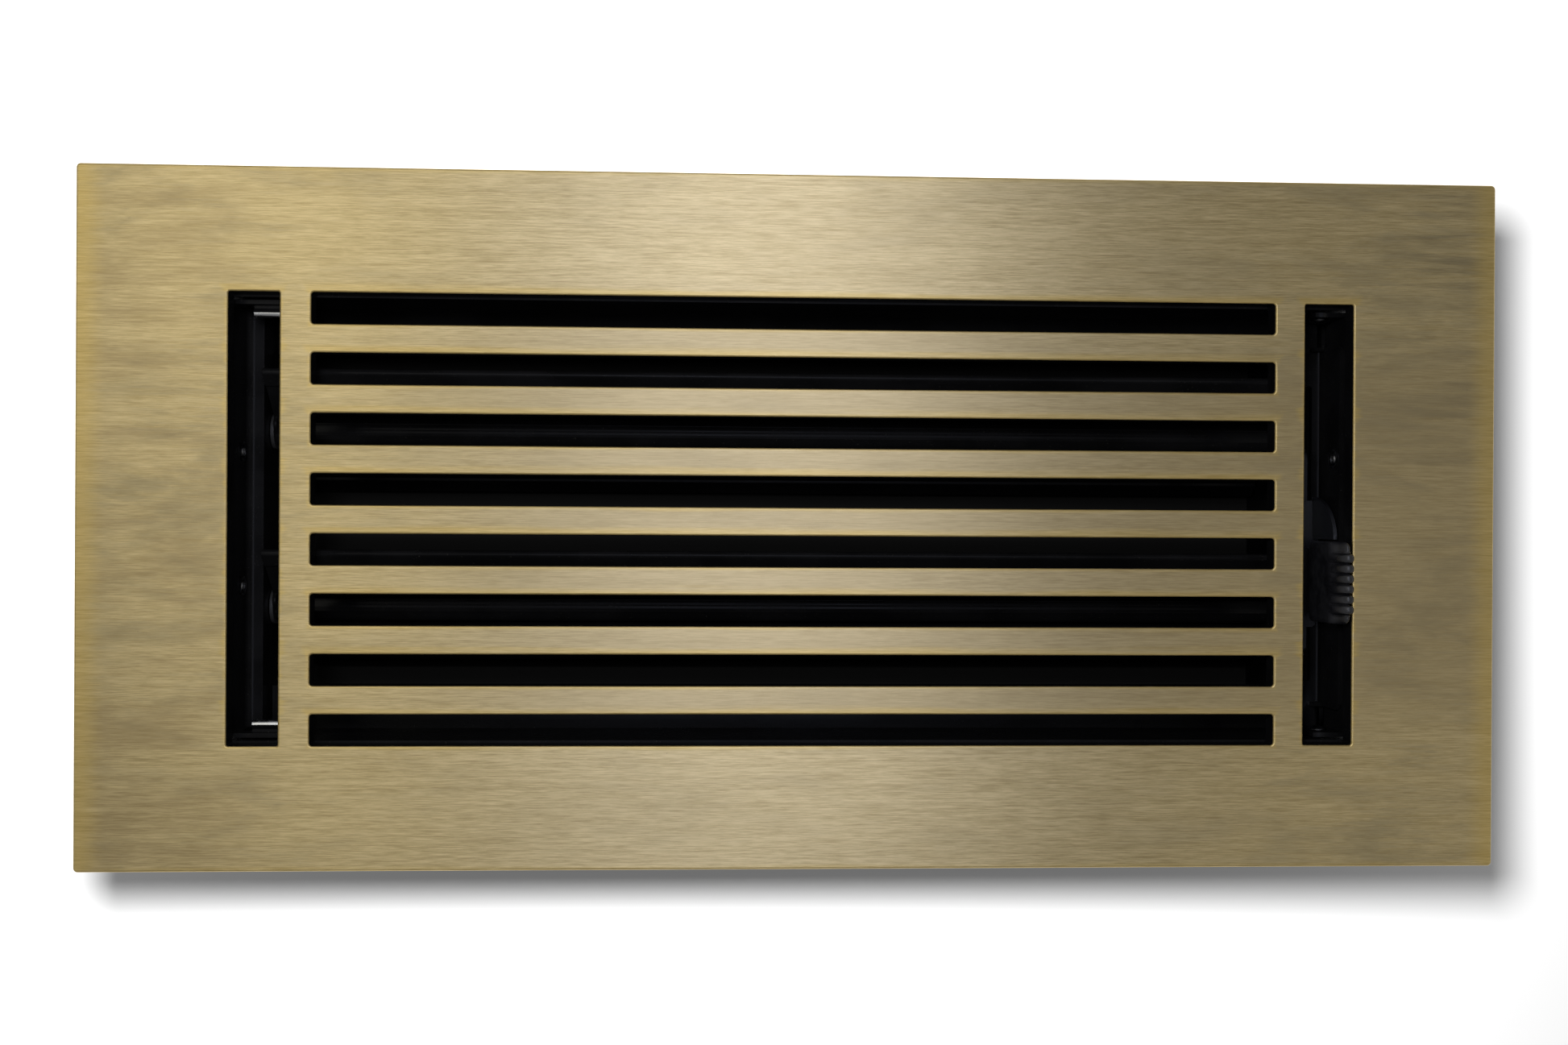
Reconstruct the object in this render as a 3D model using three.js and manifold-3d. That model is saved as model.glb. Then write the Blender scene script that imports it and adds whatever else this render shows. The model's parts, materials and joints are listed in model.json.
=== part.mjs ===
// Louvred floor register: a flat slotted cover plate with a two-blade damper box under it.
// A thumb knob in the right-hand end slot slides a cam plate, whose slot lifts a link bar and so
// turns both damper blades together through their crank arms.
// Millimetres, +Z up, +X along the plate. The origin is the middle of the plate's underside,
// which is the plane that lies on the floor round the duct opening.
import * as THREE from "three";
import { mergeVertices } from "three/addons/utils/BufferGeometryUtils.js";
import Module from "manifold-3d";

const wasm = await Module();
wasm.setup();

// ---- driving dimensions ----
const PLATE_L = 298.5, PLATE_W = 146, PLATE_T = 5, PLATE_CORNER = 0.8;
// shallow recess in the underside for the damper box, between the rim that sits on the floor and the field of bars
const RECESS = 0.4, RECESS_HALF_L = 132, RECESS_HALF_W = 56, FIELD_HALF_L = 104.6, FIELD_HALF_W = 41;
const SLOTS = 8, SLOT_H = 6.5, SLOT_PITCH = 12.5, SLOT_HALF_L = 101.4, SLOT_CORNER = 0.6, END_SLOT_CORNER = 0.35;
const END_SLOT_IN = 107.9, END_SLOT_OUT = 118.35, GRILLE_W = 94;
const GAP = 0.3; // clearance left between separate pieces
const SHEET = 1.0; // damper box sheet
const TOP = RECESS - GAP; // top of the damper box, just under the recess
const BOX_HALF_L = 120.5, BOX_HALF_W = 47.5, BOX_BOTTOM = -45;
const LEDGE_Z = -15, SKIRT_Z = -24; // top of the ledge in each end wall, and how far the outer skin runs down past it
const LEFT_LOWER_X = -116, RIGHT_LOWER_X = 112; // inner faces of the lower end walls
const PIVOT_Y = 19.5, PIVOT_Z = -23.5, BLADE_HALF_W = 19.2, BLADE_T = 0.8;
const BLADE_LEFT = -115, BLADE_RIGHT = 110.4;
const REST_DEG = 48.8; // blade angle in the stored pose; 0 is shut
const DEG_PER_MM = 2.0; // blade turn for each millimetre of lever travel
const LEVER_LOW = -11.6, LEVER_HIGH = 24.4; // lever travel either side of the stored pose
const CRANK_R = 9, CRANK_LAG_DEG = -46, DRIVE_PIN_DY = -7;
const PIN_R = 1.4, PIN_HOLE_R = 1.7, CRANK_PIN_R = 1.2, CRANK_HOLE_R = 1.5;
const ARM_X = [113.35, 114.15], LINK_X = [114.5, 115.1], CAM_X = [115.4, 116.4];
const KNOB_Y = -12.4, KNOB_LEN = 17.6, KNOB_X = [113.9, 118.0], KNOB_TOP = 8.2, KNOB_BOTTOM = -8.2;
const SCREW_X = 77, SCREW_Y = 50.1, BRACKET_SCREW_X = 125.2, EYELET_Y = 14.5;
const eyeletZ = (side) => (side > 0 ? -6.5 : -11);
const RIVET_X = 115.8, RIVET_Z = -8;

// ---- materials ----
const brass = new THREE.MeshStandardMaterial({ color: 0xa8935f, roughness: 0.38, metalness: 1 });
const blackSteel = new THREE.MeshStandardMaterial({ color: 0x0c0c0e, roughness: 0.35, metalness: 0.2 });
const knobPlastic = new THREE.MeshStandardMaterial({ color: 0x1b1b1d, roughness: 0.55, metalness: 0 });
const zinc = new THREE.MeshStandardMaterial({ color: 0x8d8f92, roughness: 0.4, metalness: 1 });
const darkZinc = new THREE.MeshStandardMaterial({ color: 0x2a2a2c, roughness: 0.4, metalness: 1 });
const nylon = new THREE.MeshStandardMaterial({ color: 0x2b2b2b, roughness: 0.6, metalness: 0 });

// ---- solids ----
function solid(geometry) {
  let g = geometry.index ? geometry.toNonIndexed() : geometry.clone();
  g.deleteAttribute("normal");
  if (g.getAttribute("uv")) g.deleteAttribute("uv");
  g = mergeVertices(g, 1e-4);
  return new wasm.Manifold(
    new wasm.Mesh({
      numProp: 3,
      vertProperties: new Float32Array(g.attributes.position.array),
      triVerts: new Uint32Array(g.index.array),
    }),
  );
}
function geometryOf(manifold) {
  const m = manifold.getMesh();
  const g = new THREE.BufferGeometry();
  g.setAttribute("position", new THREE.BufferAttribute(new Float32Array(m.vertProperties), 3));
  g.setIndex(new THREE.BufferAttribute(new Uint32Array(m.triVerts), 1));
  const flat = g.toNonIndexed();
  flat.computeVertexNormals();
  return flat;
}
const join = (...s) => s.reduce((a, b) => a.add(b));
const cut = (a, ...s) => s.reduce((x, b) => x.subtract(b), a);

function box(x0, x1, y0, y1, z0, z1) {
  const g = new THREE.BoxGeometry(x1 - x0, y1 - y0, z1 - z0);
  g.translate((x0 + x1) / 2, (y0 + y1) / 2, (z0 + z1) / 2);
  return solid(g);
}
// A round bar from a to b along an axis, at (u, v) on the other two.
function rod(axis, a, b, u, v, r, seg = 20, r2 = r) {
  const lo = Math.min(a, b), hi = Math.max(a, b);
  const g = new THREE.CylinderGeometry(r2, r, hi - lo, seg); // r at the low end, r2 at the high end
  if (axis === "x") { g.rotateZ(-Math.PI / 2); g.translate((lo + hi) / 2, u, v); }
  else if (axis === "y") { g.translate(u, (lo + hi) / 2, v); }
  else { g.rotateX(Math.PI / 2); g.translate(u, v, (lo + hi) / 2); }
  return solid(g);
}
const YZ_TO_X = new THREE.Matrix4().makeBasis(
  new THREE.Vector3(0, 1, 0), new THREE.Vector3(0, 0, 1), new THREE.Vector3(1, 0, 0),
);
// A flat shape drawn in (y, z), made into a plate from x0 to x1.
function plateX(shape, x0, x1, curveSegments = 6) {
  const g = new THREE.ExtrudeGeometry(shape, { depth: x1 - x0, bevelEnabled: false, curveSegments });
  g.applyMatrix4(YZ_TO_X);
  g.translate(x0, 0, 0);
  return solid(g);
}
const XZ_TO_Y = new THREE.Matrix4().makeBasis(
  new THREE.Vector3(1, 0, 0), new THREE.Vector3(0, 0, 1), new THREE.Vector3(0, -1, 0),
);
// A flat shape drawn in (x, z), made into a bar from y0 to y1.
function barY(shape, y0, y1, curveSegments = 6) {
  const g = new THREE.ExtrudeGeometry(shape, { depth: y1 - y0, bevelEnabled: false, curveSegments });
  g.applyMatrix4(XZ_TO_Y);
  g.translate(0, y1, 0);
  return solid(g);
}
// A flat shape drawn in (x, y), made into a plate from z0 to z1.
function plateZ(shape, z0, z1, curveSegments = 6) {
  const g = new THREE.ExtrudeGeometry(shape, { depth: z1 - z0, bevelEnabled: false, curveSegments });
  g.translate(0, 0, z0);
  return solid(g);
}
function roundRect(path, x0, x1, y0, y1, r) {
  path.moveTo(x0 + r, y0);
  path.lineTo(x1 - r, y0);
  path.absarc(x1 - r, y0 + r, r, -Math.PI / 2, 0, false);
  path.lineTo(x1, y1 - r);
  path.absarc(x1 - r, y1 - r, r, 0, Math.PI / 2, false);
  path.lineTo(x0 + r, y1);
  path.absarc(x0 + r, y1 - r, r, Math.PI / 2, Math.PI, false);
  path.lineTo(x0, y0 + r);
  path.absarc(x0 + r, y0 + r, r, Math.PI, Math.PI * 1.5, false);
  return path;
}
const rectShape = (x0, x1, y0, y1, r) => roundRect(new THREE.Shape(), x0, x1, y0, y1, r);
const polygon = (pts) => new THREE.Shape(pts.map(([a, b]) => new THREE.Vector2(a, b)));
// A quarter of a disc whose corner is at (y, z), towards +Y and +Z.
function quarterDisc(y, z, r, rz = r, seg = 12) {
  const arc = Array.from({ length: seg + 1 }, (_, i) => (Math.PI / 2) * (i / seg));
  return polygon([[y, z], ...arc.map((a) => [y + r * Math.cos(a), z + rz * Math.sin(a)])]);
}
// The outline of a disc of radius r swept along a line of points.
function sweptOutline(pts, r, seg = 8) {
  const left = [], right = [];
  const n = pts.length;
  const dir = (i) => {
    const a = pts[Math.max(0, i - 1)], b = pts[Math.min(n - 1, i + 1)];
    const l = Math.hypot(b[0] - a[0], b[1] - a[1]);
    return [(b[0] - a[0]) / l, (b[1] - a[1]) / l];
  };
  for (let i = 0; i < n; i++) {
    const [dx, dy] = dir(i);
    left.push([pts[i][0] - dy * r, pts[i][1] + dx * r]);
    right.push([pts[i][0] + dy * r, pts[i][1] - dx * r]);
  }
  const cap = (p, [dx, dy], from) => {
    const a0 = Math.atan2(dx, -dy) + (from ? Math.PI : 0), out = [];
    for (let k = 1; k < seg; k++) {
      const a = a0 - (Math.PI * k) / seg;
      out.push([p[0] + r * Math.cos(a), p[1] + r * Math.sin(a)]);
    }
    return out;
  };
  return [...left, ...cap(pts[n - 1], dir(n - 1), false), ...right.reverse(), ...cap(pts[0], dir(0), true)];
}

const root = new THREE.Group();
root.name = "floor_register";
const frame = new THREE.Group(), leverGroup = new THREE.Group();
root.add(frame, leverGroup);
function mesh(parent, name, manifold, material) {
  const m = new THREE.Mesh(geometryOf(manifold), material);
  m.name = name;
  parent.add(m);
  return m;
}

// ---- cover plate: 8 air slots, an end slot at each end, blind screw holes underneath ----
{
  const shape = rectShape(-PLATE_L / 2, PLATE_L / 2, -PLATE_W / 2, PLATE_W / 2, PLATE_CORNER);
  for (let i = 0; i < SLOTS; i++) {
    const y = (i - (SLOTS - 1) / 2) * SLOT_PITCH;
    shape.holes.push(roundRect(new THREE.Path(), -SLOT_HALF_L, SLOT_HALF_L, y - SLOT_H / 2, y + SLOT_H / 2, SLOT_CORNER));
  }
  for (const s of [-1, 1]) {
    const a = s * END_SLOT_IN, b = s * END_SLOT_OUT;
    shape.holes.push(roundRect(new THREE.Path(), Math.min(a, b), Math.max(a, b), -GRILLE_W / 2, GRILLE_W / 2, END_SLOT_CORNER));
  }
  let plate = plateZ(shape, 0, PLATE_T, 2);
  plate = cut(plate, cut(
    box(-RECESS_HALF_L, RECESS_HALF_L, -RECESS_HALF_W, RECESS_HALF_W, -1, RECESS),
    box(-FIELD_HALF_L, FIELD_HALF_L, -FIELD_HALF_W, FIELD_HALF_W, -2, RECESS + 1),
  ));
  for (const sx of [-1, 1]) {
    for (const sy of [-1, 1]) plate = cut(plate, rod("z", -1, 3.4, sx * SCREW_X, sy * SCREW_Y, 1.7, 12));
    plate = cut(plate, rod("z", -1, 3.4, sx * BRACKET_SCREW_X, 0, 1.7, 12));
  }
  mesh(frame, "face_plate", plate, brass);
}

// ---- damper box: two long rails, each with two screw tabs and a blade stop lip ----
for (const [name, s] of [["rear_rail", 1], ["front_rail", -1]]) {
  const at = (y0, y1) => (s > 0 ? [y0, y1] : [-y1, -y0]);
  const inner = BOX_HALF_W - SHEET;
  const [wy0, wy1] = at(inner, BOX_HALF_W);
  let rail = box(-BOX_HALF_L, BOX_HALF_L, wy0, wy1, BOX_BOTTOM, TOP);
  const [ly0, ly1] = at(37, inner + 0.2);
  const lipTop = s > 0 ? -25 : -21; // the rear blade shuts down on its lip, the front blade shuts up against it
  rail = rail.add(box(-115.4, 111.4, ly0, ly1, lipTop - SHEET, lipTop));
  for (const sx of [-1, 1]) {
    const [ty0, ty1] = at(BOX_HALF_W - 0.2, 53);
    rail = rail.add(plateZ(rectShape(sx * SCREW_X - 8, sx * SCREW_X + 8, ty0, ty1, 0.15), TOP - SHEET, TOP));
    rail = cut(rail, rod("z", -3, 1, sx * SCREW_X, s * SCREW_Y, 1.8, 16));
    rail = cut(rail, rod("y", s * (inner - 1), s * (BOX_HALF_W + 1), sx * RIVET_X, RIVET_Z, 1.5, 16));
  }
  mesh(frame, name, rail, blackSteel);
}

// ---- end walls: an upper wall, a ledge, and a lower wall that carries the blade pivots ----
for (const [name, s, lower] of [["left_end_wall", -1, LEFT_LOWER_X], ["right_end_wall", 1, RIGHT_LOWER_X]]) {
  const at = (x0, x1) => (s > 0 ? [x0, x1] : [-x1, -x0]);
  const half = BOX_HALF_W - SHEET - GAP;
  const in_ = Math.abs(lower);
  const [ux0, ux1] = at(BOX_HALF_L - SHEET, BOX_HALF_L);
  const [gx0, gx1] = at(in_, BOX_HALF_L);
  const [bx0, bx1] = at(in_, in_ + SHEET);
  let wall = join(
    box(ux0, ux1, -half, half, SKIRT_Z, TOP),
    box(gx0, gx1, -half, half, LEDGE_Z - SHEET, LEDGE_Z),
    box(bx0, bx1, -half, half, BOX_BOTTOM, LEDGE_Z),
  );
  // bend radius between the ledge and the outer skin
  const bend = [[s * (BOX_HALF_L - SHEET + 0.2), LEDGE_Z - 0.2], [s * (BOX_HALF_L - SHEET - 1.6), LEDGE_Z - 0.2]];
  for (let i = 0; i <= 5; i++) {
    const a = (Math.PI / 2) * (i / 5);
    bend.push([s * (BOX_HALF_L - SHEET - 1.6 + 1.6 * Math.sin(a)), LEDGE_Z + 1.6 - 1.6 * Math.cos(a)]);
  }
  bend.push([s * (BOX_HALF_L - SHEET + 0.2), LEDGE_Z + 1.6]);
  wall = wall.add(barY(polygon(bend), -half, half));
  for (const sy of [-1, 1]) {
    const [fx0, fx1] = at(s > 0 ? 112.7 : 109.6, BOX_HALF_L - SHEET + 0.2);
    const fy = [half - SHEET, half].map((v) => sy * v).sort((a, b) => a - b);
    // corner flange, riveted to the rail
    wall = wall.add(box(fx0, fx1, fy[0], fy[1], -13.4, -2));
    wall = cut(wall, rod("y", sy * (half - SHEET - 1), sy * (half + 1), s * RIVET_X, RIVET_Z, 1.5, 16));
    wall = cut(wall, rod("x", bx0 - 1, bx1 + 1, sy * PIVOT_Y, PIVOT_Z, 3.1, 16));
    // the left-hand flanges end in a rolled edge that stands in from the corner
    if (s < 0) {
      const ry = [43.6, half - SHEET + 0.2].map((v) => sy * v).sort((a, b) => a - b);
      wall = join(wall, box(-115.3, -109.6, ry[0], ry[1], -4.6, -3.7), rod("x", -115.3, -109.6, sy * 43.6, -4.2, 1.0, 14));
    }
  }
  if (s > 0) {
    // slot for the cam plate's neck, an inner guide plate up the skin, and a stop tab at each end of it
    wall = cut(wall, plateZ(rectShape(115.0, 116.8, -35.2, 31.2, 0.6), LEDGE_Z - SHEET - 1, LEDGE_Z + 1));
    wall = wall.add(plateX(rectShape(-40.6, 39.6, LEDGE_Z - 0.3, -3.2, 1.5), 118.6, 119.7));
    for (const y of [-40.6, 38.8]) wall = wall.add(box(116.2, 118.8, y, y + 0.8, LEDGE_Z - 0.3, -11.8));
  }
  for (const sy of [-1, 1]) wall = cut(wall, rod("x", ux0 - 2, ux1 + 2, sy * EYELET_Y, eyeletZ(s), 1.8, 16));
  mesh(frame, name, wall, blackSteel);
}

// ---- fasteners that close the box and hold it to the plate ----
for (const [lr, sx] of [["left", -1], ["right", 1]]) {
  for (const [fr, sy] of [["front", -1], ["rear", 1]]) {
    const yIn = sy * 45.1, yMid = sy * 47.6;
    mesh(frame, `corner_rivet_${fr}_${lr}`, join(
      rod("y", sy * 44.9, sy * 47.9, sx * RIVET_X, RIVET_Z, 1.2, 12),
      sy > 0 ? rod("y", 44.4, yIn, sx * RIVET_X, RIVET_Z, 1.5, 14, 2.2) : rod("y", yIn, -44.4, sx * RIVET_X, RIVET_Z, 2.2, 14, 1.5),
      sy > 0 ? rod("y", yMid, 48.3, sx * RIVET_X, RIVET_Z, 2.2, 14, 1.4) : rod("y", -48.3, yMid, sx * RIVET_X, RIVET_Z, 1.4, 14, 2.2),
    ), darkZinc);
    mesh(frame, `box_screw_${fr}_${lr}`, join(
      rod("z", -1.5, 3.0, sx * SCREW_X, sy * SCREW_Y, 1.4, 12),
      rod("z", -2.7, -1.2, sx * SCREW_X, sy * SCREW_Y, 2.0, 16, 2.5),
    ), zinc);
    const inner = sx > 0 ? 118.5 : 119.4; // where the eyelet's inner flange meets the wall, as |x|
    mesh(frame, `end_eyelet_${fr}_${lr}`, cut(join(
      rod("x", sx * (inner - 0.4), sx * 122.2, sy * EYELET_Y, eyeletZ(sx), 1.5, 12),
      rod("x", sx * (inner - 0.6), sx * (inner - 0.1), sy * EYELET_Y, eyeletZ(sx), 2.1, 14),
      rod("x", sx * 121.9, sx * 122.5, sy * EYELET_Y, eyeletZ(sx), 2.3, 14),
    ), rod("x", sx * 117, sx * 123, sy * EYELET_Y, eyeletZ(sx), 1.05, 12)), zinc);
  }
  const at = (x0, x1) => (sx > 0 ? [x0, x1] : [-x1, -x0]);
  const [vx0, vx1] = at(120.8, 121.8), [hx0, hx1] = at(120.8, 129);
  let bracket = join(box(vx0, vx1, -20, 20, -14, TOP), box(hx0, hx1, -20, 20, TOP - SHEET, TOP));
  for (const sy of [-1, 1]) bracket = cut(bracket, rod("x", vx0 - 1, vx1 + 1, sy * EYELET_Y, eyeletZ(sx), 1.8, 16));
  bracket = cut(bracket, rod("z", -3, 1, sx * BRACKET_SCREW_X, 0, 1.8, 16));
  mesh(frame, `end_bracket_${lr}`, bracket, blackSteel);
  mesh(frame, `bracket_screw_${lr}`, join(
    rod("z", -1.5, 3.0, sx * BRACKET_SCREW_X, 0, 1.4, 12),
    rod("z", -2.7, -1.2, sx * BRACKET_SCREW_X, 0, 2.0, 16, 2.5),
  ), zinc);
}

// ---- pivot bushes in the lower end walls ----
for (const [lr, s, x] of [["left", -1, LEFT_LOWER_X], ["right", 1, RIGHT_LOWER_X]]) {
  for (const [fr, sy] of [["front", -1], ["rear", 1]]) {
    const a = x, b = x + s * SHEET; // inner and outer faces of the wall
    mesh(frame, `pivot_bush_${fr}_${lr}`, cut(join(
      rod("x", a - s * 0.2, b + s * 0.1, sy * PIVOT_Y, PIVOT_Z, 2.8, 16),
      rod("x", a - s * 0.9, a - s * 0.1, sy * PIVOT_Y, PIVOT_Z, 4.0, 16),
    ), rod("x", a - s * 3, b + s * 3, sy * PIVOT_Y, PIVOT_Z, PIN_HOLE_R, 16)), nylon);
  }
}

// ---- damper blades, each with its pivot pins, crank arm and crank pin ----
function bladeProfile() {
  const h = BLADE_T / 2, e = BLADE_HALF_W - 0.9, pts = [];
  const arc = (cy, r, a0, a1, n) => {
    for (let i = 0; i <= n; i++) {
      const a = a0 + ((a1 - a0) * i) / n;
      pts.push([cy + r * Math.cos(a), r * Math.sin(a)]);
    }
  };
  const aOut = Math.asin(h / 3.2), aIn = Math.asin(-h / 2.4);
  arc(e, 0.9, -Math.PI / 2, Math.PI / 2, 6); // folded edge
  pts.push([15, 0.9], [14.5, h]);
  arc(0, 3.2, aOut, Math.PI - aOut, 10); // pivot channel, outside
  pts.push([-14.5, h], [-15, 0.9]);
  arc(-e, 0.9, Math.PI / 2, (3 * Math.PI) / 2, 6);
  pts.push([-15, -0.9], [-14.5, -h]);
  arc(0, 2.4, Math.PI - aIn, aIn, 10); // pivot channel, inside
  pts.push([14.5, -h], [15, -0.9]);
  return polygon(pts);
}
const rest = THREE.MathUtils.degToRad(REST_DEG), lag = THREE.MathUtils.degToRad(CRANK_LAG_DEG);
const crank = [CRANK_R * Math.cos(lag), CRANK_R * Math.sin(lag)];
for (const [fr, sy] of [["front", -1], ["rear", 1]]) {
  const group = new THREE.Group();
  group.position.set(0, sy * PIVOT_Y, PIVOT_Z);
  group.rotation.x = rest;
  root.add(group);
  const tab = rectShape(-5, 5, -4.4, 2.6, 1.2);
  let blade = plateX(bladeProfile(), BLADE_LEFT, BLADE_RIGHT);
  for (const [x0, x1] of [[BLADE_LEFT, BLADE_LEFT + BLADE_T], [BLADE_RIGHT - BLADE_T, BLADE_RIGHT]]) {
    blade = blade.add(plateX(tab, x0, x1));
    blade = cut(blade, rod("x", x0 - 1, x1 + 1, 0, 0, PIN_HOLE_R, 14));
  }
  mesh(group, `blade_${fr}`, blade, blackSteel);
  mesh(group, `pivot_pin_${fr}_left`, join(
    rod("x", BLADE_LEFT - 3.6, BLADE_LEFT + 1.2, 0, 0, PIN_R, 14),
    rod("x", BLADE_LEFT + 1.1, BLADE_LEFT + 1.9, 0, 0, 2.0, 14),
  ), darkZinc);
  mesh(group, `pivot_pin_${fr}_right`, join(
    rod("x", BLADE_RIGHT - 1.2, ARM_X[1] + 0.05, 0, 0, PIN_R, 14),
    rod("x", BLADE_RIGHT - 1.9, BLADE_RIGHT - 1.1, 0, 0, 2.0, 14),
  ), darkZinc);
  let arm = plateX(polygon(sweptOutline([[0, 0], [crank[0] / 2, crank[1] / 2], crank], 2.6, 8)), ...ARM_X);
  arm = cut(arm, rod("x", ARM_X[0] - 1, ARM_X[1] + 1, 0, 0, PIN_HOLE_R, 14),
    rod("x", ARM_X[0] - 1, ARM_X[1] + 1, crank[0], crank[1], CRANK_HOLE_R, 14));
  mesh(group, `crank_arm_${fr}`, arm, blackSteel);
  mesh(group, `crank_pin_${fr}`, rod("x", 113.4, 115.2, crank[0], crank[1], CRANK_PIN_R, 14), darkZinc);
}

// ---- link bar between the two crank pins, with the drive pin that runs in the cam slot ----
// Where a point on the link bar is, for a lever travel s from the stored pose.
const crankAt = (s) => {
  const a = THREE.MathUtils.degToRad(REST_DEG - DEG_PER_MM * s + CRANK_LAG_DEG);
  return [CRANK_R * Math.cos(a), PIVOT_Z + CRANK_R * Math.sin(a)];
};
const [cy0, cz0] = crankAt(0);
{
  const ends = [[cy0 - PIVOT_Y, cz0], [cy0, cz0], [cy0 + PIVOT_Y, cz0]];
  let bar = plateX(polygon(sweptOutline(ends, 2.4, 8)), ...LINK_X);
  for (const y of [cy0 - PIVOT_Y, cy0 + PIVOT_Y, cy0 + DRIVE_PIN_DY]) {
    bar = cut(bar, rod("x", LINK_X[0] - 1, LINK_X[1] + 1, y, cz0, CRANK_HOLE_R, 14));
  }
  mesh(root, "link_bar", bar, blackSteel);
  mesh(root, "drive_pin", join(
    rod("x", 114.55, 117.0, cy0 + DRIVE_PIN_DY, cz0, CRANK_PIN_R, 14),
    rod("x", 116.8, 117.6, cy0 + DRIVE_PIN_DY, cz0, 2.2, 14),
  ), darkZinc);
}

// ---- lever: a steel slider with its cam plate, and the plastic thumb knob pressed on it ----
{
  const path = [];
  for (let i = 0; i <= 20; i++) {
    const s = LEVER_LOW - 0.3 + ((LEVER_HIGH - LEVER_LOW + 0.6) * i) / 20;
    const [y, z] = crankAt(s);
    path.push([y + DRIVE_PIN_DY - s, z]);
  }
  const ys = path.map((p) => p[0]);
  const y0 = Math.min(...ys) - 4.2, y1 = Math.max(...ys) + 4.2;
  let slider = join(
    plateX(rectShape(y0, y1, -34.2, -16.4, 2.0), ...CAM_X), // cam plate, under the ledge
    box(CAM_X[0], CAM_X[1], -22, 4.8, -17, -13.9), // neck through the ledge
    plateZ(rectShape(114.1, 117.5, -23, 5.4, 1.2), -14.8, -13.8), // foot on the ledge
    plateX(quarterDisc(-3.2, -14.3, 9.4, 13.0), 116.7, 117.5), // rounded ear beside the guide plate
    plateX(rectShape(KNOB_Y - 7, KNOB_Y + 7, -14.4, 1, 0.8), ...CAM_X), // tab inside the knob
  );
  slider = cut(slider, plateX(polygon(sweptOutline(path, CRANK_PIN_R + GAP, 8)), CAM_X[0] - 1, CAM_X[1] + 1));
  mesh(leverGroup, "lever_slider", slider, blackSteel);

  // thumb knob: upright inner face, sloped ribbed crest, rounded over its outer edge
  const k0 = KNOB_Y - KNOB_LEN / 2, k1 = KNOB_Y + KNOB_LEN / 2;
  const section = (back) => {
    const top = KNOB_TOP - back, pts = [[KNOB_X[0], KNOB_BOTTOM], [117.4, KNOB_BOTTOM], [117.4, -1.6], [KNOB_X[1] - back * 0.5, -0.9]];
    for (let i = 0; i <= 5; i++) {
      const a = (Math.PI / 2) * (i / 5), r = 1.3;
      pts.push([KNOB_X[1] - back * 0.5 - r + r * Math.cos(a), top - r + r * Math.sin(a)]);
    }
    pts.push([115.6, top - 1.0], [114.5, top - 3.0], [KNOB_X[0], top - 4.6]);
    return polygon(pts);
  };
  let knob = barY(section(0.8), k0, k1);
  for (let i = 0; i < 6; i++) {
    const y = KNOB_Y - 0.2 + (i - 2.5) * 2.18;
    knob = knob.add(barY(section(0), y - 0.75, y + 0.75));
  }
  knob = cut(knob, box(CAM_X[0] - GAP, CAM_X[1] + GAP, KNOB_Y - 7.3, KNOB_Y + 7.3, -20, 1.4));
  mesh(leverGroup, "lever_knob", knob, knobPlastic);
}

export default root;
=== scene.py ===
# Looks for the slotted floor register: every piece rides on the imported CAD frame. Metres, same frame as the CAD.
import bpy, bmesh, json, math
from mathutils import Matrix, Vector


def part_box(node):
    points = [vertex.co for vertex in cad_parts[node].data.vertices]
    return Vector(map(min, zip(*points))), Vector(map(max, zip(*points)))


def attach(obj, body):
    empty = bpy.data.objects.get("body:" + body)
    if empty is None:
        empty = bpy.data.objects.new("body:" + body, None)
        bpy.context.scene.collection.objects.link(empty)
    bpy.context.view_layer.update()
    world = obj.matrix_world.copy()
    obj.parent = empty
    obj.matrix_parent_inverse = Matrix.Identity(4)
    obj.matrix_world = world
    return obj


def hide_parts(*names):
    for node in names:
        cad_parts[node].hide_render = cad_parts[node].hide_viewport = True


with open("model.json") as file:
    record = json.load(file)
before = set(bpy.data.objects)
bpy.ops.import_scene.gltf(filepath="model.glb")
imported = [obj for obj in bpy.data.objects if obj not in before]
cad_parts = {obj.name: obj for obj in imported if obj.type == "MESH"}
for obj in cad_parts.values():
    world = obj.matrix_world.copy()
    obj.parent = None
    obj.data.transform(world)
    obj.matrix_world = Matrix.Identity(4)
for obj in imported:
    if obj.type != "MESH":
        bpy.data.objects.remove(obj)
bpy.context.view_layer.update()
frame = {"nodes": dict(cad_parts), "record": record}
NODES = frame["nodes"]
MM = 0.001

# ---------------------------------------------------------------- node helpers
def new_mat(name):
    m = bpy.data.materials.new(name)
    m.use_nodes = True
    nt = m.node_tree
    nt.nodes.clear()
    out = nt.nodes.new("ShaderNodeOutputMaterial")
    b = nt.nodes.new("ShaderNodeBsdfPrincipled")
    nt.links.new(b.outputs[0], out.inputs[0])
    return m, nt, b


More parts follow.
